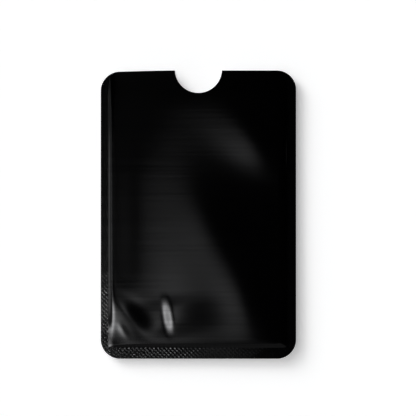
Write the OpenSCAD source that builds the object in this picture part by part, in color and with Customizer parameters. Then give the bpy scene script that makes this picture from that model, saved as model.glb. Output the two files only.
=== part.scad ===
// Card sleeve of laminated film, open at one end: two laminated walls sealed to each other
// along both sides and the bottom, with a thumb notch punched through both walls at the mouth.
// The sleeve lies on its back. X runs across it, Y along it towards the mouth, Z up.
// Its lowest face is at z = 0 and its outline is centred on the Z axis.

/* [Card] */
// Width of the card that the sleeve holds
card_w = 53.98; // [50:0.01:60]
// Length of the card
card_l = 85.6; // [80:0.1:95]
// Thickness of the card
card_t = 0.76; // [0.3:0.01:1.2]

/* [Fit] */
// Gap between the card and each side seal
side_gap = 0.96; // [0.5:0.01:2]
// How much further the pocket reaches than the card
mouth_gap = 0.9; // [0:0.1:5]
// Gap between the card's face and each wall where the card's edge lies
face_gap = 0.07; // [0.02:0.01:0.3]

/* [Seals] */
// Width of the left side seal
left_seal_w = 2.3; // [1.5:0.1:4]
// Width of the right side seal
right_seal_w = 2.8; // [1.5:0.1:4]
// Height of the bottom seal
bottom_seal_h = 3.5; // [2:0.1:6]

/* [Outline] */
// Radius of the punched corners
corner_r = 6; // [3:0.5:9]
// Radius of the thumb notch
notch_r = 7.35; // [5:0.05:10]
// How far the notch's centre lies outside the mouth
notch_out = 0.35; // [0:0.05:2]

/* [Laminate] */
// Thickness of the black outer film
film_t = 0.05; // [0.03:0.01:0.1]
// Thickness of the aluminium foil
foil_t = 0.03; // [0.02:0.01:0.06]
// Thickness of the heat-sealing liner
liner_t = 0.07; // [0.04:0.01:0.12]

/* [Pouch] */
// How far the front wall bows outwards between the card's edges
front_bow = 0.75; // [0.3:0.05:1.2]
// Length over which the front wall rises from the bottom seal
front_close_l = 32; // [15:1:45]
// How far the back wall bows outwards between the card's edges
back_bow = 1.35; // [0.5:0.05:1.6]
// Length over which the back wall comes down from the bottom seal
back_close_l = 25; // [15:1:45]
// Width of the strip of back wall that lies flat
rest_w = 22; // [14:1:34]

/* [Hidden] */
$fn = 96;

// Each bowed wall is made of flat strips about this wide, both ways
strip_w = 3;

wall_t = film_t + foil_t + liner_t;
// Beside each seal both walls step outwards by this much, to clear the card's edge
step_h = card_t / 2 + face_gap;
// Height of the seal plane, where the two liners meet, above the surface that the sleeve lies on
seal_z = step_h + back_bow + wall_t;
// Height that takes in the whole sleeve, above and below the seal plane
tall = 2 * (seal_z + step_h + front_bow);

pocket_w = card_w + 2 * side_gap;
pocket_l = card_l + mouth_gap;
sleeve_w = pocket_w + left_seal_w + right_seal_w;
sleeve_l = pocket_l + bottom_seal_h;
pocket_left = left_seal_w - sleeve_w / 2;
pocket_right = sleeve_w / 2 - right_seal_w;
pocket_x = (pocket_left + pocket_right) / 2;
pocket_bottom = bottom_seal_h - sleeve_l / 2;
mouth_y = sleeve_l / 2;

// Shapes that are cut to the outline start this wide and long
blank_w = 2 * sleeve_w;
blank_l = 2 * sleeve_l;
// Such a shape reaches this far past the seal plane
under = 1;

// How far the centre of an arc lies behind its ends, when they are "run" from its middle
// and the arc has risen by "rise" at "still" from its middle
function arc_depth(run, still, rise) = (run^2 - still^2 - rise^2) / (2 * rise);

// Corners of that arc, from one end to the other
function arc(run, still, rise) =
    let (depth = arc_depth(run, still, rise))
    let (radius = norm([run, depth]))
    let (sweep = atan2(run, depth))
    let (strips = 2 * ceil(run / strip_w) + 1)
    [
        for (i = [0:strips])
        let (angle = sweep * (2 * i / strips - 1))
        [radius * sin(angle), radius * cos(angle) - depth]
    ];

// Inner face of a wall in section: flat on the seal, a step beside it, an arc that bows by "rise"
// and reaches that at "still" from the middle, and the same again on the other side
function section(run, still, rise) =
    let (far = 2 * run)
    let (bow = arc(run - side_gap, still, rise))
    concat(
        [[-far, 0], [-run, 0]],
        [for (corner = bow) corner + [0, step_h]],
        [[run, 0], [far, 0]]
    );

// Direction straight out of the line from a to b
function outwards(a, b) = [a.y - b.y, b.x - a.x] / norm(b - a);

// Those corners moved "t" outwards, so that layers made this way keep their thickness
function moved(corners, t) =
    let (last = len(corners) - 1)
    [
        for (i = [0:last])
        let (before = outwards(corners[max(i - 1, 0)], corners[max(i, 1)]))
        let (after = outwards(corners[min(i, last - 1)], corners[min(i + 1, last)]))
        corners[i] + t * (before + after) / (1 + before * after)
    ];

// Everything under a section, down to a little below the seal plane
module under_section(corners, t) {
    line = moved(corners, t);
    polygon(concat(line, [[line[len(line) - 1].x, -under], [line[0].x, -under]]));
}

// Everything under a wall's face "t" outside its inner face, where the wall bows across from side
// seal to side seal and along from the bottom seal to the mouth, where it is level
module under_wall(still, close_l, rise, t) {
    intersection() {
        translate([pocket_x, 0, 0])
            rotate([90, 0, 0])
                linear_extrude(height = blank_l, center = true)
                    under_section(section(pocket_w / 2, still, rise), t);
        translate([0, mouth_y, 0])
            rotate([90, 0, 90])
                linear_extrude(height = blank_w, center = true)
                    under_section(section(pocket_l, pocket_l - close_l, rise), t);
    }
}

module under_front(t) {
    under_wall(0, front_close_l, front_bow, t);
}

// The back wall lies flat where it meets the surface below it
module under_back(t) {
    intersection() {
        under_wall(rest_w / 2, back_close_l, back_bow, t);
        translate([-blank_w / 2, -blank_l / 2, -under])
            cube([blank_w, blank_l, under + step_h + back_bow + t]);
    }
}

// The punched outline, with rounded corners and the thumb notch
module outline() {
    difference() {
        union() {
            square([sleeve_w - 2 * corner_r, sleeve_l], center = true);
            square([sleeve_w, sleeve_l - 2 * corner_r], center = true);
            for (x = [-1, 1], y = [-1, 1])
                translate([x * (sleeve_w / 2 - corner_r), y * (sleeve_l / 2 - corner_r)])
                    circle(r = corner_r);
        }
        translate([0, mouth_y + notch_out])
            circle(r = notch_r);
    }
}

// Trims what it is given to the punched outline
module punched() {
    intersection() {
        children();
        linear_extrude(height = tall, center = true)
            outline();
    }
}

// The pocket between the seals, as a block through both walls and out past the mouth
module pocket() {
    translate([pocket_left, pocket_bottom, -tall / 2])
        cube([pocket_w, 2 * pocket_l, tall]);
}

// One layer of the front wall, between two distances from its inner face
module front_layer(from, to) {
    translate([0, 0, seal_z])
        punched()
            difference() {
                under_front(to);
                under_front(from);
            }
}

// One layer of the back wall, between two distances from its inner face
module back_layer(from, to) {
    translate([0, 0, seal_z])
        mirror([0, 0, 1])
            punched()
                difference() {
                    under_back(to);
                    under_back(from);
                }
}

// Stretch of seal as thick as both liners, from x0 to x1 and from y0 to y1
module seal(x0, x1, y0, y1) {
    translate([0, 0, seal_z])
        punched()
            translate([x0, y0, -liner_t])
                cube([x1 - x0, y1 - y0, 2 * liner_t]);
}

module front_film() {
    color("#101012")
        front_layer(liner_t + foil_t, wall_t);
}

module front_foil() {
    color("silver")
        front_layer(liner_t, liner_t + foil_t);
}

module front_liner() {
    color("gainsboro")
        intersection() {
            front_layer(0, liner_t);
            translate([0, 0, seal_z]) pocket();
        }
}

module back_film() {
    color("#101012")
        back_layer(liner_t + foil_t, wall_t);
}

module back_foil() {
    color("silver")
        back_layer(liner_t, liner_t + foil_t);
}

module back_liner() {
    color("gainsboro")
        intersection() {
            back_layer(0, liner_t);
            translate([0, 0, seal_z]) pocket();
        }
}

module left_seal() {
    color("darkgray")
        seal(-sleeve_w / 2, pocket_left, pocket_bottom, mouth_y);
}

module right_seal() {
    color("darkgray")
        seal(pocket_right, sleeve_w / 2, pocket_bottom, mouth_y);
}

module bottom_seal() {
    color("darkgray")
        seal(-sleeve_w / 2, sleeve_w / 2, -sleeve_l / 2, pocket_bottom);
}

front_film();
front_foil();
front_liner();
back_film();
back_foil();
back_liner();
left_seal();
right_seal();
bottom_seal();
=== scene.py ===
# %% [markdown]
# A sleeve for one card, made of black laminated film. Two walls are sealed to each other along both
# sides and the bottom, and a thumb notch is punched through them at the open mouth. Each wall is a black
# film, a foil and a heat-sealing liner, and where the liners meet they are melted into one strip. The
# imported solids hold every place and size, so they are loaded first and the dress is worked out from them.

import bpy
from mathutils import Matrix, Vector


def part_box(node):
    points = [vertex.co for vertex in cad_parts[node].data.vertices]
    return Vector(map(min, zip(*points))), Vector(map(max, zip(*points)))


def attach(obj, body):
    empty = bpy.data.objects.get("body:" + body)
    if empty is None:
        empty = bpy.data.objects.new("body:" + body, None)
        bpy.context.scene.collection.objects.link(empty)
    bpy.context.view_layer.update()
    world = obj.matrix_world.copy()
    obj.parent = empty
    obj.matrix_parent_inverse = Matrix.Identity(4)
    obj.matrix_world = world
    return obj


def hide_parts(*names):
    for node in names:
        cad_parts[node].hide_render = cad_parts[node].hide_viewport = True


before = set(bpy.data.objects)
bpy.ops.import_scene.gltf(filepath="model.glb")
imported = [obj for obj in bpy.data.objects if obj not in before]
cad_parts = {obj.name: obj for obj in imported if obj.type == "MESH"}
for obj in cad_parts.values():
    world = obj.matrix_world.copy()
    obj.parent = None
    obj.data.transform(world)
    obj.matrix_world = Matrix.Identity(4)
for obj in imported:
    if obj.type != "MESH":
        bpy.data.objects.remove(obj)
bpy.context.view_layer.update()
print("pieces in the frame:", sorted(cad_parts))

# %% [markdown]
# A sheet of film is thinner than a hair, so this lesson works in millimetres and turns them into metres
# only when a mesh is made. The width of each seal, the pocket and the thickness of each layer could be
# typed in again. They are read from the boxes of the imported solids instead, so that the dress still fits
# when a size changes.

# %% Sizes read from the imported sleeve
import math

import bpy
import numpy as np
from mathutils import Vector
from mathutils.geometry import delaunay_2d_cdt

MM = 0.001


def box_mm(node):
    """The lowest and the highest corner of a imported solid, in millimetres."""
    low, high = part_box(node)
    return low / MM, high / MM


sleeve_high = box_mm("front_film")[1]
half_w = sleeve_high.x
half_l = sleeve_high.y
pocket_left = box_mm("left_seal")[1].x
pocket_right = box_mm("right_seal")[0].x
pocket_bottom = box_mm("bottom_seal")[1].y
pocket_mid = (pocket_left + pocket_right) / 2
pocket_half = (pocket_right - pocket_left) / 2

seal_low, seal_high = box_mm("left_seal")
seal_z = (seal_low.z + seal_high.z) / 2
liner_t = (seal_high.z - seal_low.z) / 2
film_t = sleeve_high.z - box_mm("front_foil")[1].z
foil_t = box_mm("front_foil")[1].z - box_mm("front_liner")[1].z
wall_t = liner_t + foil_t + film_t
print(f"sleeve {2 * half_w:.1f} by {2 * half_l:.1f} mm, seal plane at {seal_z:.2f} mm")
print(f"layers: liner {liner_t:.3f}, foil {foil_t:.3f}, film {film_t:.3f} mm")

# %% [markdown]
# The camera comes before the looks, because gloss is judged from one place. The photograph looks straight
# down, so a long lens far above the sleeve stands in for it. An orthographic camera would frame it as
# well, but then all flat parts of the film would mirror one single spot of the sky. The camera's aim is
# the middle of the picture, which lies a little to the right of the sleeve's own middle and a little
# above it.

# %% Camera straight above
photo_px = 416
px_per_mm = 3.2016
sleeve_mid_px = (198.4, 214.6)
camera_away = 900.0
sensor = 36.0

aim_x = (photo_px / 2 - sleeve_mid_px[0]) / px_per_mm
aim_y = (sleeve_mid_px[1] - photo_px / 2) / px_per_mm
view_w = photo_px / px_per_mm

camera_data = bpy.data.cameras.new("camera")
camera_data.sensor_width = sensor
camera_data.lens = sensor * camera_away / view_w
camera = bpy.data.objects.new("camera", camera_data)
camera.location = Vector((aim_x, aim_y, seal_z + camera_away)) * MM
bpy.context.scene.collection.objects.link(camera)
bpy.context.scene.camera = camera
print(f"camera {camera_away:.0f} mm above the seal plane, lens {camera_data.lens:.0f} mm")

# %% [markdown]
# The outline is what a punch leaves: a rectangle with four round corners and part of a circle bitten out
# of the mouth. It could be cut from a block with booleans, but a sheet this thin is better made the way
# the real one is, as a flat cutting pattern that is bent afterwards. The edge of that pattern is made of
# straight and round stretches, each a row of points close enough together to look smooth.

# %% Straight and round stretches
rim_step = 0.2


def arc(cx, cy, r, start, end):
    """Points along an arc, from one angle to the other in degrees, without the last."""
    count = math.ceil(abs(math.radians(end - start)) * r / rim_step)
    turns = np.radians(np.linspace(start, end, count, endpoint=False))
    return [(cx + r * math.cos(a), cy + r * math.sin(a)) for a in turns]


def edge(start, end):
    """Points along a straight edge, without the last."""
    count = math.ceil(math.dist(start, end) / rim_step)
    return [
        (start[0] + (end[0] - start[0]) * i / count, start[1] + (end[1] - start[1]) * i / count)
        for i in range(count)
    ]


print("points to a millimetre of edge:", len(edge((0, 0), (1, 0))))

# %% [markdown]
# The loop starts at the lower left and runs once round the sleeve, against the clock. The notch's centre
# lies a little outside the mouth, so its arc is a bit less than half a circle. Where it has to start and
# stop could be found by trying, but the mouth's edge and the radius form a right triangle, and that gives
# the angle exactly.

# %% Punched outline
corner_r = 6.0
notch_r = 7.35
notch_out = 0.35


def punched_outline():
    x = half_w - corner_r
    y = half_l - corner_r
    notch_y = half_l + notch_out
    dip = math.degrees(math.asin(notch_out / notch_r))
    notch_x = notch_r * math.cos(math.radians(dip))
    loop = edge((-x, -half_l), (x, -half_l)) + arc(x, -y, corner_r, -90, 0)
    loop += edge((half_w, -y), (half_w, y)) + arc(x, y, corner_r, 0, 90)
    loop += edge((x, half_l), (notch_x, half_l)) + arc(0, notch_y, notch_r, -dip, dip - 180)
    loop += edge((-notch_x, half_l), (-x, half_l)) + arc(-x, y, corner_r, 90, 180)
    loop += edge((-half_w, y), (-half_w, -y)) + arc(-x, -y, corner_r, 180, 270)
    return loop


outline = punched_outline()
print("points along the outline:", len(outline))

# %% [markdown]
# Points inside the pattern have to stay clear of the punched edge, or the triangles there become slivers.
# Blender could search for the nearest edge of every point, but a rounded rectangle and a circle each have
# a simple distance of their own, which is worked out for all points at once.

# %% Distance from the punched edge
def rim_gap(x, y):
    """How far inside the outline each point lies."""
    over_x = np.abs(x) - (half_w - corner_r)
    over_y = np.abs(y) - (half_l - corner_r)
    corner = np.hypot(np.maximum(over_x, 0), np.maximum(over_y, 0))
    plate = corner_r - corner - np.minimum(np.maximum(over_x, over_y), 0)
    return np.minimum(plate, np.hypot(x, y - half_l - notch_out) - notch_r)


print(f"from the middle to the nearest edge: {rim_gap(0.0, 0.0):.1f} mm")

# %% [markdown]
# Inside the outline the pattern needs points where the film bends, and few where it is flat. Beside each
# seal both walls step apart within a millimetre or two, so the rows are close together there and wider
# apart after it. An even grid would need several times as many points for the same smooth step.

# %% Rows of points over the pocket
step_run = 0.9
close_run = 1.6 * step_run


def rows(start, end, close, wide):
    """Places from a seal to the far side, close together over the step and wide apart after it."""
    near = np.arange(0, close_run, close)
    far = np.arange(near[-1] + wide, abs(end - start), wide)
    return start + np.sign(end - start) * np.concatenate([near, far])


def grid(xs, ys):
    x, y = np.meshgrid(xs, ys)
    return x.ravel(), y.ravel()


def pocket_points(close, wide):
    left = rows(pocket_left, pocket_mid, close, wide)
    right = rows(pocket_right, pocket_mid + wide / 2, close, wide)
    return grid(np.concatenate([left, right]), rows(pocket_bottom, half_l, close, wide))


print("rows from the bottom seal to the mouth:", len(rows(pocket_bottom, half_l, close=0.2, wide=0.5)))

# %% [markdown]
# The pressed seals carry a fine knurl. A bump could paint it on, but its teeth catch the light at the
# rim as well, so they are real shape, and each tooth gets eight rows of points. The lines where the seals
# meet the pocket have to be edges of the mesh too, because the pieces are parted along them.

# %% Points and lines of the seals
tooth = 1.3
rows_to_a_tooth = 8


def seal_points(step):
    """Rows over the whole sleeve, of which only those on the seals are kept."""
    x, y = grid(np.arange(-half_w, half_w, step), np.arange(-half_l, half_l, step))
    on_seal = (x < pocket_left) | (x > pocket_right) | (y < pocket_bottom)
    return x[on_seal], y[on_seal]


def seal_lines():
    """Both ends of each line where a seal meets the pocket."""
    return [
        (pocket_left, pocket_bottom), (pocket_left, half_l),
        (pocket_right, pocket_bottom), (pocket_right, half_l),
        (-half_w, pocket_bottom), (half_w, pocket_bottom),
    ]


print("points of the knurl on each outer face:", len(seal_points(tooth / rows_to_a_tooth)[0]))

# %% [markdown]
# A pattern is the outline, the seal lines and all points between them, joined to triangles. An ordinary
# grid couldn't follow the round corners. A Delaunay triangulation can, and it keeps the given lines as
# edges. It fills the whole hull, the notch included, so the triangles outside the outline are dropped
# again. Two patterns are cut: a fine one for the outer faces, and a plain one for every face that lies
# hidden between the layers.

# %% Flat cutting patterns
rim_margin = 0.4 * rim_step
rim_slack = 1e-3
merge_within = 1e-4
whole_hull = 0


def cut_pattern(pocket_close, pocket_wide, seal_step):
    """Flat points and triangles of the whole sleeve, with the seal lines kept as edges."""
    parts = [pocket_points(pocket_close, pocket_wide), seal_points(seal_step)]
    x = np.concatenate([p[0] for p in parts])
    y = np.concatenate([p[1] for p in parts])
    clear = rim_gap(x, y) > rim_margin
    inner = list(zip(x[clear].tolist(), y[clear].tolist()))
    ends = seal_lines()
    count = len(outline)
    loop = [(i, (i + 1) % count) for i in range(count)]
    seams = [(count + i, count + i + 1) for i in range(0, len(ends), 2)]
    corners = [Vector(p) for p in outline + ends + inner]
    cut = delaunay_2d_cdt(corners, loop + seams, [], whole_hull, merge_within, False)
    points = np.array(cut[0])
    faces = np.array([face for face in cut[2] if len(face) == 3])
    middle = points[faces].mean(axis=1)
    inside = rim_gap(middle[:, 0], middle[:, 1]) > -rim_slack
    return points, faces[inside]


fine = cut_pattern(pocket_close=0.2, pocket_wide=0.5, seal_step=tooth / rows_to_a_tooth)
plain = cut_pattern(pocket_close=0.3, pocket_wide=1.1, seal_step=1.6)
print("triangles in the fine and the plain pattern:", len(fine[1]), len(plain[1]))

# %% [markdown]
# Film bends and never folds at a sharp line here, so every change of height has to be soft. Blender's
# Bevel could round the finished mesh, but gloss shows each facet of a bevel. Two formulas are used
# instead: an S curve from 0 to 1, and a minimum of two heights that is rounded where they cross.

# %% Soft curves
def ease(t):
    """From 0 to 1 along an S curve."""
    t = np.clip(t, 0, 1)
    return t * t * (3 - 2 * t)


def soft_min(a, b, blend):
    """The smaller of two heights, with the crease between them rounded off."""
    share = np.clip(0.5 + 0.5 * (b - a) / blend, 0, 1)
    return b * (1 - share) + a * share - blend * share * (1 - share)


print(f"a quarter of the way, the S curve has risen to {ease(0.25):.2f}")

# %% [markdown]
# Beside each seal the walls part in a small rounded step that runs round the whole pocket. It is about
# half a card's thickness high. From the seal on, each wall also bows outwards, steepest right at the seal,
# as film does that is held along its edges. Both could be drawn as one curve, but as two they can be tuned
# apart: the reflections ask for a wider step beside the right seal than at the left, and a steeper bow.

# %% Step and bow beside the seals
step_h = 0.40
step_round = 0.4
right_soft = 2.0
bow_run = 2.2
right_stiff = 1.3


def step_rise(x, y):
    """From 0 on the seals to 1 where the step beside them ends."""
    sides = soft_min(x - pocket_left, (pocket_right - x) / right_soft, step_run)
    away = np.maximum(soft_min(sides, y - pocket_bottom, step_run) / step_run, 0)
    return soft_min(away, 1, step_round)


def bow_rise(x, y):
    """From 0 on the seals to 1 inside, with its steepest slope right at the seal."""
    sides = soft_min(x - pocket_left, (pocket_right - x) * right_stiff, bow_run)
    away = np.clip(soft_min(sides, y - pocket_bottom, bow_run) / bow_run, 0, 1)
    return 1 - (1 - away) ** 2


step_near_seal = step_h * step_rise(pocket_left + 0.5, 0)
print(f"half a millimetre from the left seal the step is {step_near_seal:.2f} mm high")

# %% [markdown]
# Between the seals each wall bows like a sail: highest along the middle, down to nothing at both side
# seals and at the bottom, and level towards the mouth. A cloth simulation with some pressure would give a
# like shape, but a laminated film hardly stretches, and two parabolas say the same in one line.

# %% Bow of a wall
def bow(x, y, still, close):
    """From 0 at the seals to 1 where the wall bows out furthest."""
    away = np.maximum(np.abs(x - pocket_mid) - still, 0) / (pocket_half - still)
    left_to_close = np.maximum(1 - (y - pocket_bottom) / close, 0)
    return (1 - away**2) * (1 - left_to_close**2)


bow_near_seal = bow(pocket_mid, pocket_bottom + 10, still=0, close=30)
print(f"ten millimetres above the bottom seal a wall has {bow_near_seal:.0%} of its bow")

# %% [markdown]
# A sleeve fresh from its pack also curls as a whole, both walls together. Its right side stands higher
# than its left one, its lower right corner highest, and its left seal hangs a little. The shadow in the
# photograph tells this, because it is wide on the right and hardly there on the left. A bend modifier
# could do it, but added to the heights of both walls the curl leaves the gap between them alone.

# %% Curl of the whole sleeve
side_tilt = 0.32
corner_curl = 0.26
curl_from = 12.0
left_hang = 0.03
hang_line = pocket_left + 1.5


def curl(x, y):
    """Both walls together: the right side stands higher, and the lower right corner highest."""
    right = ease((x + half_w) / (2 * half_w))
    down = ease((curl_from - y) / (curl_from + half_l))
    hang = left_hang * (hang_line - np.minimum(x, hang_line))
    return side_tilt * (right - 0.5) + corner_curl * right * down - hang


print(f"the lower right corner curls up by {curl(half_w, -half_l):.2f} mm")

# %% [markdown]
# Film that has been packed, bent and opened keeps soft swellings and dents. They are under half a
# millimetre high, but gloss shows every one of them, so they are real shape here and no painted light.
# They could be sculpted by hand. As formulas they can be read and changed: each is one smooth hump with a
# place, a length, a turn and two flanks. A crease is another form, a short slanting face with rounded
# lips, because only a steep narrow face gives a short bright dash.

# %% One swelling and one crease
def turned(x, y, middle, turn):
    """Distances along and across a line through the middle, turned by so many degrees."""
    turn = math.radians(turn)
    along = (x - middle[0]) * math.cos(turn) + (y - middle[1]) * math.sin(turn)
    across = (y - middle[1]) * math.cos(turn) - (x - middle[0]) * math.sin(turn)
    return along, across


def swelling(x, y, middle, length, turn, rise, before, behind):
    """A long hump, or a dent where it sinks, whose two flanks each have their own width."""
    along, across = turned(x, y, middle, turn)
    width = np.where(across < 0, before, behind)
    return rise * np.exp(-((along / length) ** 2) - (across / width) ** 2)


def crease(x, y, middle, length, turn, rise, face, bend, before, behind):
    """A short slanting face between a dip before it and a hump behind it."""
    along, across = turned(x, y, middle, turn)
    foot = np.hypot(across + face / 2, bend)
    head = np.hypot(across - face / 2, bend)
    width = np.where(across < 0, before, behind)
    fade = np.exp(-(np.abs(along / length) ** 3) - (across / width) ** 2)
    return rise * (foot - head) / (2 * face) * fade


example = swelling(3, 0, middle=(0, 0), length=10, turn=90, rise=1, before=3, behind=3)
print(f"one width away from its line a swelling has {example:.0%} of its height")

# %% [markdown]
# These are the front wall's own forms, in millimetres and degrees. Each was placed where the
# photograph's reflections bend: one broad swelling carries the glow at the upper right, two ridges carry
# the long glow down the middle, and a tuck, a wrinkle and a short bright crease lie at the lower left. A
# displacement image could hold all of them, but nobody could then move one by itself.

# %% Swellings of the front wall
front_swellings = {
    "towards the upper right corner": dict(
        middle=(25, 20), length=24, turn=-45, rise=0.49, before=10.5, behind=14),
    "upper part of the long ridge": dict(
        middle=(5, -5), length=15, turn=-57, rise=0.08, before=8, behind=7),
    "lower part of the long ridge": dict(
        middle=(18, -29), length=17, turn=-72, rise=0.20, before=9, behind=6),
    "tuck in the lower left corner": dict(
        middle=(-23.6, -31.2), length=9, turn=-47, rise=0.27, before=6, behind=4.4),
    "dent along the left seal": dict(
        middle=(-26.5, 0), length=31, turn=-90, rise=-0.09, before=5, behind=5),
    "wrinkle in the lower left corner": dict(
        middle=(-23.6, -36), length=2.2, turn=-57, rise=0.04, before=0.9, behind=0.9),
    "droop of the upper left corner": dict(
        middle=(-29, 40), length=16, turn=0, rise=-0.35, before=16, behind=16),
}
short_crease = dict(
    middle=(-9.6, -31.9), length=5.0, turn=-81, rise=0.28, face=2.4, bend=0.5, before=9, behind=12)
print("swellings of the front wall:", len(front_swellings))

# %% [markdown]
# The front wall adds these forms up. At its lower left corner the walls are pinched together, so the step
# beside the seals fades out there and the film meets them at a low slope, which makes that corner bright.
# The pinch is written like a swelling, but as a share of the step. At the mouth the wall sinks back a
# little, because nothing holds it open. All of it could be one sculpted mesh, but as a sum every form
# keeps its own name and size.

# %% Front wall
front_bow = 0.30
front_close = 30.0
mouth_droop = 0.25
mouth_droop_l = 15.0
corner_pinch = dict(middle=(-29, -37), length=8.5, turn=90, rise=1.0, before=13, behind=13)


def front_height(x, y):
    """How far the front wall's inner face stands above the seal plane."""
    h = front_bow * bow(x, y, 0, front_close)
    for shape in front_swellings.values():
        h = h + swelling(x, y, **shape)
    h = h + crease(x, y, **short_crease)
    h = h - mouth_droop * ease((y - half_l + mouth_droop_l) / mouth_droop_l) ** 2
    pinch = swelling(x, y, **corner_pinch)
    return step_h * (1 - pinch) * step_rise(x, y) + h * bow_rise(x, y)


print(f"the front wall stands {front_height(pocket_mid, 0):.2f} mm above the seal plane in its middle")

# %% [markdown]
# The back wall carries the sleeve. It bows down to the surface and lies flat on it along a strip in its
# middle, so its depth isn't chosen but follows from the height of the seal plane. Nobody sees more of it
# than its edge, so it keeps a plain bow without swellings.

# %% Back wall
back_bow = seal_z - wall_t - step_h
back_close = 25.0
rest_half = 11.0


def back_height(x, y):
    """How far the back wall's inner face hangs below the seal plane."""
    h = back_bow * bow(x, y, rest_half, back_close)
    return step_h * step_rise(x, y) + h * bow_rise(x, y)


print(f"the back wall hangs {back_height(pocket_mid, 0):.2f} mm below the seal plane in its middle")

# %% [markdown]
# Heated jaws press the seals and leave a knurl of small four-sided teeth in a staggered lattice. The
# teeth are deepest in the lower left corner, where the jaws pressed hardest, and fade to almost nothing
# along the rest. An array of small pyramids would be heavy and would break at the round corners. The
# smaller of two slanted saw waves gives the same lattice as a height, and slow waves make it uneven.

# %% Knurled seals
tooth_most = 0.130
tooth_least = 0.008
press_w = 22.0
press_l = 15.0
press_edge = 0.15
tooth_by_tooth = 0.8
patch_by_patch = 0.3


def saw(t):
    """From 0 up to 1 and back again over each whole number."""
    return 1 - np.abs(2 * (t - np.floor(t)) - 1)


def waves(x, y, across, along):
    """Even waves with so many radians to a millimetre across and along the sleeve."""
    return np.sin(across * x + along * y)


def knurl(x, y):
    """The pressed teeth of the seals: four-sided points in a staggered lattice."""
    sides = np.minimum(x - pocket_left, pocket_right - x)
    on_seal = ease(-np.minimum(sides, y - pocket_bottom) / press_edge)
    rising = saw((x + half_w + y + half_l) / tooth)
    falling = saw((x + half_w - y - half_l) / tooth)
    from_corner = np.hypot((x + half_w) / press_w, (y + half_l) / press_l)
    depth = tooth_least + (tooth_most - tooth_least) * np.exp(-(from_corner**2))
    uneven = tooth_by_tooth * waves(x, y, across=7.3, along=2.1) * waves(x, y, across=-3.7, along=6.1)
    uneven = uneven + patch_by_patch * waves(x, y, across=-0.7, along=1.3)
    return on_seal * depth * (1 + uneven) * (np.minimum(rising, falling) - 0.5)


print(f"teeth {tooth} mm apart in each row, {tooth_most} mm high at the pressed corner")

# %% [markdown]
# A film covers the whole sleeve, a liner only the pocket, and a seal only its strip. Each could get a
# pattern of its own, but then their points wouldn't match where they touch. Regions of one pattern do
# match, so each piece takes the triangles whose middle lies in its region.

# %% Regions of the pattern
def everywhere(x, y):
    return np.full(x.shape, True)


def on_pocket(x, y):
    return (x > pocket_left) & (x < pocket_right) & (y > pocket_bottom)


def at_left(x, y):
    return (x < pocket_left) & (y > pocket_bottom)


def at_right(x, y):
    return (x > pocket_right) & (y > pocket_bottom)


def at_bottom(x, y):
    return y < pocket_bottom


def used(points, faces):
    """Only the points that these faces use, and the faces renumbered."""
    keep, faces = np.unique(faces, return_inverse=True)
    return points[keep], faces.reshape(-1, 3)


def region(pattern, inside):
    """The points and triangles of a pattern whose middle lies inside."""
    points, faces = pattern
    middle = points[faces].mean(axis=1)
    return used(points, faces[inside(middle[:, 0], middle[:, 1])])


outer = region(fine, everywhere)
sheet = region(plain, everywhere)
pocket = region(plain, on_pocket)
print("triangles of an outer face:", len(outer[1]))
print("triangles of a hidden face and of the pocket:", len(sheet[1]), len(pocket[1]))

# %% [markdown]
# The real mouth isn't quite square: its left end lies back a little. The outline could be redrawn, but
# then the seal lines and all rows of points would need the same change. It is simpler to slip the points
# of the upper left part back in the plane of the sheet, more and more towards the corner.

# %% Slip of the mouth's left end
slip_back = 0.4
slip_left_from = 8.0
slip_left_run = 22.0
slip_up_from = -10.0
slip_up_run = 55.0


def slipped(points):
    """The mouth's left end lies back a little in the plane of the sheet."""
    x, y = points[:, 0], points[:, 1]
    left = ease((-x - slip_left_from) / slip_left_run)
    up = ease((y - slip_up_from) / slip_up_run)
    return np.stack([x, y - slip_back * left * up], axis=1)


corner_now = slipped(np.array([[-half_w, half_l]]))[0]
print(f"the upper left corner slips back by {half_l - corner_now[1]:.2f} mm")

# %% [markdown]
# A closed layer needs a rim between its two faces. Only the triangles at the edge of a region have an
# edge that no other triangle shares, so those edges give the rim. The rim is marked sharp, so the cut edge
# stays crisp under smooth shading. Each point also keeps its place on the flat pattern as a UV, so that a
# material can tell which way the sleeve runs.

# %% Rim, crisp edge and direction of a layer
def rim_edges(faces):
    """Directed edges that only one triangle has, which run round the region."""
    pairs = np.concatenate([faces[:, [0, 1]], faces[:, [1, 2]], faces[:, [2, 0]]])
    known = set(map(tuple, pairs.tolist()))
    return [(a, b) for a, b in known if (b, a) not in known]


def sharpen(mesh, rim):
    """Marks the edges where the rim meets the two faces."""
    sharp = {tuple(sorted(e)) for q in rim for e in ((q[0], q[1]), (q[2], q[3]))}
    for e in mesh.edges:
        e.use_edge_sharp = tuple(sorted(e.vertices)) in sharp


def remember_flat(mesh, points):
    """Keeps each point's place along and across the sleeve as a UV, in metres."""
    along = mesh.uv_layers.new(name="along_sleeve")
    corner_points = np.array([loop.vertex_index for loop in mesh.loops])
    flat = points[corner_points][:, [1, 0]] * MM
    along.data.foreach_set("uv", flat.ravel())


print("rim edges round the pocket:", len(rim_edges(pocket[1])))

# %% [markdown]
# One function now makes any layer. It lifts the region's points to the layer's upper face and to its
# lower face, turns the lower triangles over, and closes the two with the rim. A Solidify modifier could
# thicken one face, but the two faces here can have patterns of different fineness. Each piece is a closed
# solid of its true thickness, so nothing is paper without a back, and the cut edge shows its layers.

# %% Turn a region into a closed layer
decimals = 3


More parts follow.
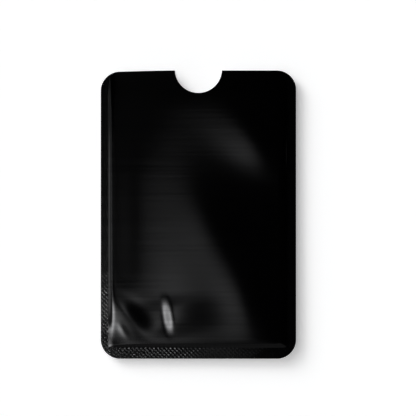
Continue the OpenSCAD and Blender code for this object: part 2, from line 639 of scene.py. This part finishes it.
def layer(name, upper, upper_z, lower, lower_z):
    """A closed solid between two regions that share one outline."""
    up_points, up_faces = upper
    low_points, low_faces = lower
    up = np.column_stack([slipped(up_points), upper_z(up_points[:, 0], up_points[:, 1])])
    low = np.column_stack([slipped(low_points), lower_z(low_points[:, 0], low_points[:, 1])])
    both = np.concatenate([up, low])
    count = len(up)
    place = {tuple(p): i for i, p in enumerate(np.round(low_points, decimals).tolist())}

    def under(i):
        """The lower face's point at the same place of the pattern."""
        return count + place[tuple(np.round(up_points[i], decimals).tolist())]

    rim = [(b, a, under(a), under(b)) for a, b in rim_edges(up_faces)]
    faces = up_faces.tolist() + (low_faces[:, ::-1] + count).tolist() + rim
    mesh = bpy.data.meshes.new(name)
    mesh.from_pydata((both * MM).tolist(), [], faces)
    mesh.shade_smooth()
    remember_flat(mesh, both)
    sharpen(mesh, rim)
    piece = bpy.data.objects.new(name, mesh)
    bpy.context.scene.collection.objects.link(piece)
    print(f"{name}: {len(mesh.polygons)} faces")
    return piece


pieces = {}

# %% [markdown]
# The front wall is three sheets that lie on each other without a gap: the printed film, the foil that
# shields the card, and the liner, which is left only over the pocket. They could be copies of one sheet
# moved up, and that is what they are here: each face is the wall's inner face, raised by the layers below
# it. Only the film's outer face is cut fine and carries the knurl.

# %% Front film, foil and liner
def front_at(t):
    """The front wall's face that lies this far outside its inner one."""
    def height(x, y):
        return seal_z + curl(x, y) + front_height(x, y) + t
    return height


def front_face(x, y):
    return front_at(wall_t)(x, y) + knurl(x, y)


front_inside_film = front_at(liner_t + foil_t)
front_inside_foil = front_at(liner_t)
pieces["front_film"] = layer("front_film_sheet", outer, front_face, sheet, front_inside_film)
pieces["front_foil"] = layer("front_foil_sheet", sheet, front_inside_film, sheet, front_inside_foil)
pieces["front_liner"] = layer("front_liner_sheet", pocket, front_inside_foil, pocket, front_at(0))

# %% [markdown]
# The back wall has the same three sheets in the other order. A mirrored copy of the front wall would be
# quicker to make, but this wall bows deeper and rests on something, so it is built like the front one with
# its faces lowered instead of raised. Where the curl would push it below the surface, the surface holds it
# up: its height stops at zero there, and its strip lies truly flat.

# %% Back film, foil and liner
def back_at(t):
    """The back wall's face that lies this far outside its inner one."""
    def height(x, y):
        outside = seal_z + curl(x, y) - back_height(x, y) - wall_t
        return np.maximum(outside, 0) + wall_t - t
    return height


def back_face(x, y):
    return back_at(wall_t)(x, y) - knurl(x, y)


back_inside_film = back_at(liner_t + foil_t)
back_inside_foil = back_at(liner_t)
pieces["back_film"] = layer("back_film_sheet", sheet, back_inside_film, outer, back_face)
pieces["back_foil"] = layer("back_foil_sheet", sheet, back_inside_foil, sheet, back_inside_film)
pieces["back_liner"] = layer("back_liner_sheet", pocket, back_at(0), pocket, back_inside_foil)

# %% [markdown]
# A seal is where both liners have melted into one strip, as thick as the two together. It shows only as
# a pale line in the cut edge between the dark films. It could be left out of a render, but then the edge
# would have a gap that the real one hasn't. The three strips follow the curl and nothing else.

# %% Left, right and bottom seal
def flat_at(z):
    """A face at this height that only follows the sleeve's curl."""
    def height(x, y):
        return z + curl(x, y)
    return height


for name, place in (("left_seal", at_left), ("right_seal", at_right), ("bottom_seal", at_bottom)):
    strip = region(plain, place)
    pieces[name] = layer(name + "_strip", strip, flat_at(seal_high.z), strip, flat_at(seal_low.z))

# %% [markdown]
# All finishes here start in the same way: a noise gives the surface's own lines or ripples. An image could
# hold such marks too, but a noise has no pixels and stays sharp at any distance. Stretching it is what
# makes lines of it, so its scale is given for each axis, in waves to a metre of the real thing.

# %% Start of a finish
def new_material(name):
    material = bpy.data.materials.new(name)
    material.use_nodes = True
    nodes = material.node_tree.nodes
    return material, nodes, material.node_tree.links, nodes["Principled BSDF"]


def stretched_noise(nodes, links, waves_to_a_metre, detail):
    """Noise with its own scale along each axis."""
    place = nodes.new("ShaderNodeTexCoord")
    mapping = nodes.new("ShaderNodeMapping")
    mapping.inputs["Scale"].default_value = waves_to_a_metre
    noise = nodes.new("ShaderNodeTexNoise")
    noise.inputs["Scale"].default_value = 1.0
    noise.inputs["Detail"].default_value = detail
    noise.inputs["Roughness"].default_value = 0.5
    links.new(place.outputs["Object"], mapping.inputs["Vector"])
    links.new(mapping.outputs["Vector"], noise.inputs["Vector"])
    return noise.outputs["Fac"]


print("a noise with 1000 waves to a metre has marks about a millimetre wide")

# %% [markdown]
# One noise then drives the roughness and the bump together, because on real film the same marks do both.
# Separate noises would be as easy, but they would look like two surfaces laid over each other. The bump's
# depth is the real depth of the marks, which keeps it far below what a knurl or a swelling does.

# %% From marks to gloss and bump
def spread(nodes, links, value, low, high):
    """Turns a value from 0 to 1 into one from low to high."""
    span = nodes.new("ShaderNodeMapRange")
    span.inputs["To Min"].default_value = low
    span.inputs["To Max"].default_value = high
    links.new(value, span.inputs["Value"])
    return span.outputs["Result"]


def bump(nodes, links, height, depth):
    """A bump as deep as the marks are on the real surface, in metres."""
    node = nodes.new("ShaderNodeBump")
    node.inputs["Strength"].default_value = 1.0
    node.inputs["Distance"].default_value = depth
    links.new(height, node.inputs["Height"])
    return node.outputs["Normal"]


def print_nodes(material):
    print(f"{material.name}: {len(material.node_tree.nodes)} nodes")


print("a noise can now set a roughness and a bump")

# %% [markdown]
# The outer film is printed black all over, so nearly all that the eye gets from it is reflection. The
# rollers that drew the film left fine lines across the sleeve, under a millimetre apart. They smear each
# reflection along the sleeve, so the gloss is anisotropic and takes its direction from the flat pattern.
# The lines also vary the roughness and the strength of the reflection, and add a bump of two thousandths
# of a millimetre. A clear coat on top keeps a sharper second reflection, as the varnish over the ink does.

# %% Black film
film_line_waves = (25, 1300, 25)
film_line_depth = 0.000002
ink_cloud_waves = (90, 90, 90)
ink_deep = (0.0002, 0.0002, 0.0003, 1)
ink_thin = (0.0006, 0.0006, 0.0007, 1)


def mottled_ink(nodes, links):
    """Black that is a little thinner in soft clouds."""
    cloud = stretched_noise(nodes, links, ink_cloud_waves, detail=3.0)
    shade = nodes.new("ShaderNodeMix")
    shade.data_type = "RGBA"
    shade.inputs["A"].default_value = ink_deep
    shade.inputs["B"].default_value = ink_thin
    links.new(cloud, shade.inputs["Factor"])
    return shade.outputs["Result"]


def black_film():
    material, nodes, links, skin = new_material("black_film")
    lines = stretched_noise(nodes, links, film_line_waves, detail=2.0)
    links.new(mottled_ink(nodes, links), skin.inputs["Base Color"])
    links.new(spread(nodes, links, lines, low=0.10, high=0.12), skin.inputs["Roughness"])
    links.new(spread(nodes, links, lines, low=0.15, high=0.85), skin.inputs["Specular IOR Level"])
    skin.inputs["IOR"].default_value = 1.5
    skin.inputs["Anisotropic"].default_value = 0.8
    tangent = nodes.new("ShaderNodeTangent")
    tangent.direction_type = "UV_MAP"
    tangent.uv_map = "along_sleeve"
    links.new(tangent.outputs["Tangent"], skin.inputs["Tangent"])
    skin.inputs["Coat Weight"].default_value = 0.5
    skin.inputs["Coat Roughness"].default_value = 0.06
    skin.inputs["Coat IOR"].default_value = 1.5
    links.new(bump(nodes, links, lines, film_line_depth), skin.inputs["Normal"])
    return material


film = black_film()
print_nodes(film)

# %% [markdown]
# The foil is rolled aluminium, bright and slightly brushed along its rolling direction. It shows in the
# cut edge and inside the mouth. A plain metal would do at that size, but a fine grain in the roughness
# and the bump keeps it from looking like a mirror when someone opens the sleeve up in a viewer.

# %% Bright foil
foil_grain_waves = (200, 3000, 200)
foil_grain_depth = 0.000002


def bright_foil():
    material, nodes, links, skin = new_material("bright_foil")
    grain = stretched_noise(nodes, links, foil_grain_waves, detail=2.0)
    skin.inputs["Base Color"].default_value = (0.80, 0.81, 0.82, 1)
    skin.inputs["Metallic"].default_value = 1.0
    links.new(spread(nodes, links, grain, low=0.18, high=0.32), skin.inputs["Roughness"])
    links.new(bump(nodes, links, grain, foil_grain_depth), skin.inputs["Normal"])
    return material


foil = bright_foil()
print_nodes(foil)

# %% [markdown]
# The liner is a clear film that melts under the jaws. With the foil right behind it, it looks like dull
# silver with a soft coat, and a real see-through layer of that thickness would only slow the render. The
# melted seals use the same finish, a little darker and rougher, because the jaws have crushed them.

# %% Liner and melted seal
ripple_waves = (300, 300, 300)
ripple_depth = 0.00001
ripple_spread = 0.15


def clear_liner(name, colour, rough):
    material, nodes, links, skin = new_material(name)
    ripple = stretched_noise(nodes, links, ripple_waves, detail=3.0)
    skin.inputs["Base Color"].default_value = colour
    skin.inputs["Metallic"].default_value = 0.7
    skin.inputs["Coat Weight"].default_value = 0.5
    skin.inputs["Coat Roughness"].default_value = 0.15
    links.new(spread(nodes, links, ripple, rough, rough + ripple_spread), skin.inputs["Roughness"])
    links.new(bump(nodes, links, ripple, ripple_depth), skin.inputs["Normal"])
    return material


liner = clear_liner("clear_liner", colour=(0.62, 0.63, 0.65, 1), rough=0.25)
seal = clear_liner("melted_seal", colour=(0.55, 0.56, 0.58, 1), rough=0.35)
print_nodes(liner)
print_nodes(seal)

# %% [markdown]
# Now each piece gets its finish and is handed to the frame. It rides on the sleeve's one body and takes the
# place of its imported solid. The table also names a slot for each, the same for all pieces of one finish,
# but the loop only prints it. A table says this once for all nine, and a loop does it.

# %% Dress the pieces
dress = {
    "front_film": (film, "outer_film"), "back_film": (film, "outer_film"),
    "front_foil": (foil, "foil"), "back_foil": (foil, "foil"),
    "front_liner": (liner, "liner"), "back_liner": (liner, "liner"),
    "left_seal": (seal, "seal"), "right_seal": (seal, "seal"), "bottom_seal": (seal, "seal"),
}
for node, piece in pieces.items():
    material, slot = dress[node]
    piece.data.materials.append(material)
    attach(piece, "root")
    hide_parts(node)
    print(f"{node} wears {material.name}, slot {slot}")

# %% [markdown]
# The sleeve lies on a white sheet that fades into a white background, with a soft shadow. More light
# would whiten the sheet, but it would also flood the black film. So the sheet has a white paint that
# takes the shadow, and a faint glow of its own that only lifts it to white for the camera and for rays
# that have met gloss or glass. The glow is off for all other rays, so it lights nothing.

# %% Finish of the floor
floor_paint = (0.90, 0.90, 0.90, 1)
floor_glow = (0.385, 0.385, 0.385, 1)


def larger(nodes, links, a, b):
    node = nodes.new("ShaderNodeMath")
    node.operation = "MAXIMUM"
    links.new(a, node.inputs[0])
    links.new(b, node.inputs[1])
    return node.outputs["Value"]


def white_floor():
    material = bpy.data.materials.new("white_floor")
    material.use_nodes = True
    nodes = material.node_tree.nodes
    links = material.node_tree.links
    nodes.clear()
    paint = nodes.new("ShaderNodeBsdfDiffuse")
    paint.inputs["Color"].default_value = floor_paint
    ray = nodes.new("ShaderNodeLightPath")
    seen = larger(nodes, links, ray.outputs["Is Camera Ray"], ray.outputs["Is Glossy Ray"])
    seen = larger(nodes, links, seen, ray.outputs["Is Transmission Ray"])
    glow = nodes.new("ShaderNodeEmission")
    glow.inputs["Color"].default_value = floor_glow
    links.new(seen, glow.inputs["Strength"])
    both = nodes.new("ShaderNodeAddShader")
    out = nodes.new("ShaderNodeOutputMaterial")
    links.new(paint.outputs["BSDF"], both.inputs[0])
    links.new(glow.outputs["Emission"], both.inputs[1])
    links.new(both.outputs["Shader"], out.inputs["Surface"])
    return material


floor_white = white_floor()
print_nodes(floor_white)

# %% [markdown]
# The sheet itself is one flat square, so wide that its edge stays out of view. It could curve up at the
# back like a studio's paper roll, but it is seen from above, where that wouldn't show.

# %% White floor
floor_reach = 4.0
floor_corners = [
    (-floor_reach, -floor_reach, 0), (floor_reach, -floor_reach, 0),
    (floor_reach, floor_reach, 0), (-floor_reach, floor_reach, 0),
]
floor_mesh = bpy.data.meshes.new("floor")
floor_mesh.from_pydata(floor_corners, [], [(0, 1, 2, 3)])
floor = bpy.data.objects.new("floor", floor_mesh)
floor.data.materials.append(floor_white)
bpy.context.scene.collection.objects.link(floor)
print(f"white floor, {2 * floor_reach:.0f} m wide")

# %% [markdown]
# A black film shows its surroundings and little else, so the studio has to be drawn as carefully as the
# sleeve. Softboxes could be glowing planes, but their hard edges would show in the gloss. Here the
# studio is drawn in the world's own shader, as a few soft patches of light in a dark room. For a sky
# above a flat sheet the handy measure is how far a direction leans from straight up: its sideways part
# divided by its upward part.

# %% Directions in the sky
world = bpy.data.worlds.new("studio")
bpy.context.scene.world = world
world.use_nodes = True
sky_nodes = world.node_tree.nodes
sky_links = world.node_tree.links
sky_nodes.clear()
horizon_z = 0.01


def sky_math(operation, a, b=0.0):
    node = sky_nodes.new("ShaderNodeMath")
    node.operation = operation
    for socket, value in zip(node.inputs, (a, b)):
        if isinstance(value, float):
            socket.default_value = value
        else:
            sky_links.new(value, socket)
    return node.outputs["Value"]


look = sky_nodes.new("ShaderNodeTexCoord")
split = sky_nodes.new("ShaderNodeSeparateXYZ")
sky_links.new(look.outputs["Generated"], split.inputs["Vector"])
look_z = split.outputs["Z"]
upward = sky_math("MAXIMUM", look_z, horizon_z)
lean_x = sky_math("DIVIDE", split.outputs["X"], upward)
lean_y = sky_math("DIVIDE", split.outputs["Y"], upward)
bearing = sky_math("ARCTAN2", split.outputs["Y"], split.outputs["X"])
print("the world is read as a lean across, a lean along and a bearing")

# %% [markdown]
# Each patch of light needs an edge that nobody can see. A gradient texture could give one, but it would
# have to be placed and turned for every patch. Two formulas are enough: an S curve between two values, and
# a bell, which is brightest in its middle and fades evenly to all sides.

# %% Soft edges in the sky
def plus(a, b):
    return sky_math("ADD", a, b)


def times(a, b):
    return sky_math("MULTIPLY", a, b)


def square(value):
    return times(value, value)


def sky_ease(value, start, end, first, last):
    """From the first to the last value along an S curve."""
    node = sky_nodes.new("ShaderNodeMapRange")
    node.interpolation_type = "SMOOTHSTEP"
    node.inputs["From Min"].default_value = start
    node.inputs["From Max"].default_value = end
    node.inputs["To Min"].default_value = first
    node.inputs["To Max"].default_value = last
    sky_links.new(value, node.inputs["Value"])
    return node.outputs["Result"]


def bell(far_squared):
    """1 in the middle, fading evenly to all sides."""
    return sky_math("EXPONENT", times(far_squared, -1.0))


def widths_from(value, middle, width):
    return times(plus(value, -middle), 1 / width)


def round_patch(middle, width, length):
    """A soft oval patch around a lean, so wide and so long."""
    across = square(widths_from(lean_x, middle[0], width))
    along = square(widths_from(lean_y, middle[1], length))
    return bell(plus(across, along))


print("helpers for soft edges are ready")

# %% [markdown]
# The long grey glow down the film is the reflection of one narrow strip of light overhead. The front
# wall is so nearly flat that a strip as wide as a softbox would fill it from edge to edge. This one is
# thin, and it fades towards both ends, so the glow is brightest low on the sleeve.

# %% Strip of light overhead
strip_lean = -0.046
strip_half_w = 0.016
strip_bright = 0.90

strip_across = bell(square(widths_from(lean_x, strip_lean, strip_half_w)))
strip_far_end = sky_ease(lean_y, start=-0.05, end=0.03, first=strip_bright, last=0.0)
strip_near_end = sky_ease(lean_y, start=-0.12, end=-0.045, first=0.0, last=1.0)
strip = times(times(strip_across, strip_far_end), strip_near_end)
print(f"strip of light at a lean of {strip_lean}, {2 * strip_half_w} wide")

# %% [markdown]
# The bright dash of the crease, the shine of the pinched corner and the sparks on the knurl all face the
# same way, so one small strong lamp serves all three. As a lamp object it would cast one more shadow. As a
# small patch of sky it is hardly more than a reflection. A wider and dimmer halo beside it lifts the film
# around them.

# %% Small lamp and its halo
lamp_lean = (-0.23, -0.13)
lamp_size = 0.075
lamp_bright = 8.0
halo_lean = (-0.14, -0.14)
halo_w = 0.10
halo_l = 0.05
halo_bright = 0.4

lamp = times(round_patch(lamp_lean, lamp_size, lamp_size), lamp_bright)
halo = times(round_patch(halo_lean, halo_w, halo_l), halo_bright)
print(f"lamp at a lean of {lamp_lean}, halo at {halo_lean}")

# %% [markdown]
# On the left stands a window. Steep faces mirror it: the left seal's inner edge, the rim and the flanks of
# the knurl. A glowing plane could stand there, but it would have to end somewhere, and gloss would show
# that end. This window is bright low down, dim higher up and gone before the zenith, so the flat parts of
# the film stay dark. A bearing jumps by a whole turn where it starts again, so the distance from the
# window is taken the short way round.

# %% Window on the left
window_bearing = math.radians(165)
window_full = math.radians(50)
window_end = math.radians(90)
whole_turn = math.radians(360)

off_window = sky_math("ABSOLUTE", sky_math("SUBTRACT", bearing, window_bearing))
off_window = sky_math("MINIMUM", off_window, sky_math("SUBTRACT", whole_turn, off_window))
window = sky_ease(off_window, window_full, window_end, first=1.0, last=0.0)
window = times(window, sky_ease(look_z, start=0.65, end=0.85, first=0.9, last=0.2))
window = times(window, sky_ease(look_z, start=0.95, end=0.98, first=1.0, last=0.0))
print(f"window towards {math.degrees(window_bearing):.0f} degrees")

# %% [markdown]
# Two weak fills keep the outline readable. One stands in front and shows the bottom seal's edge and its
# teeth. The other is a low ring all round, which puts a thin grey line on the sleeve's rim from any side,
# where a black object on white would otherwise look like a hole. Several lamps in a circle would do the
# same, but they would show as a row of separate dots.

# %% Fill in front and low ring
fill_bearing = math.radians(-90)
fill_full = math.radians(30)
fill_end = math.radians(60)
fill_bright = 0.12
ring_bright = 0.5

off_fill = sky_math("ABSOLUTE", sky_math("SUBTRACT", bearing, fill_bearing))
front_fill = sky_ease(off_fill, fill_full, fill_end, first=fill_bright, last=0.0)
front_fill = times(front_fill, sky_ease(look_z, start=0.95, end=0.99, first=1.0, last=0.0))
ring = sky_ease(look_z, start=0.15, end=0.35, first=ring_bright, last=0.0)
print(f"fill in front {fill_bright}, ring {ring_bright}")

# %% [markdown]
# The patches add up to one strength, with one cool white for all of them. Separate backgrounds mixed
# together would give each patch its own colour, but the photograph's greys all have the same faint blue.

# %% The whole sky
sky_white = (0.795, 0.80, 0.815, 1)

strength = plus(plus(strip, lamp), plus(window, front_fill))
strength = plus(strength, ring)
strength = plus(strength, halo)
sky = sky_nodes.new("ShaderNodeBackground")
sky.inputs["Color"].default_value = sky_white
sky_links.new(strength, sky.inputs["Strength"])
sky_out = sky_nodes.new("ShaderNodeOutputWorld")
sky_links.new(sky.outputs["Background"], sky_out.inputs["Surface"])
print("nodes in the sky:", len(sky_nodes))

# %% [markdown]
# The floor needs more light than such a dark sky gives, and the shadow needs a direction, because it falls
# to the right and below. Area lamps would do, but a sun lights the whole floor evenly. Two suns from the
# upper left share the work: a broad one keeps a soft shadow close to the sleeve, and a lower, narrower one
# carries it further out. The gloss doesn't see them, because the sky already holds every reflection.

# %% Two soft suns
def soft_sun(name, azimuth, elevation, wide, power):
    """Broad light from one side, with all angles in degrees, which no gloss shows."""
    data = bpy.data.lights.new(name, "SUN")
    data.energy = power
    data.angle = math.radians(wide)
    sun = bpy.data.objects.new(name, data)
    sun.rotation_euler = (0, math.radians(90 - elevation), math.radians(azimuth))
    sun.visible_glossy = False
    bpy.context.scene.collection.objects.link(sun)
    print(f"{name}: {elevation} degrees high, {wide} degrees wide")


soft_sun("window_light", azimuth=138, elevation=36, wide=55, power=1.3)
soft_sun("low_window_light", azimuth=138, elevation=22, wide=26, power=1.6)

# %% [markdown]
# Last, colours are shown as they are written, so the view transform is Standard. A small helper turns a box
# into a list of its corners.

# %% View transform and box corners
bpy.context.scene.view_settings.view_transform = "Standard"


def corners(box):
    return [list(corner) for corner in box]
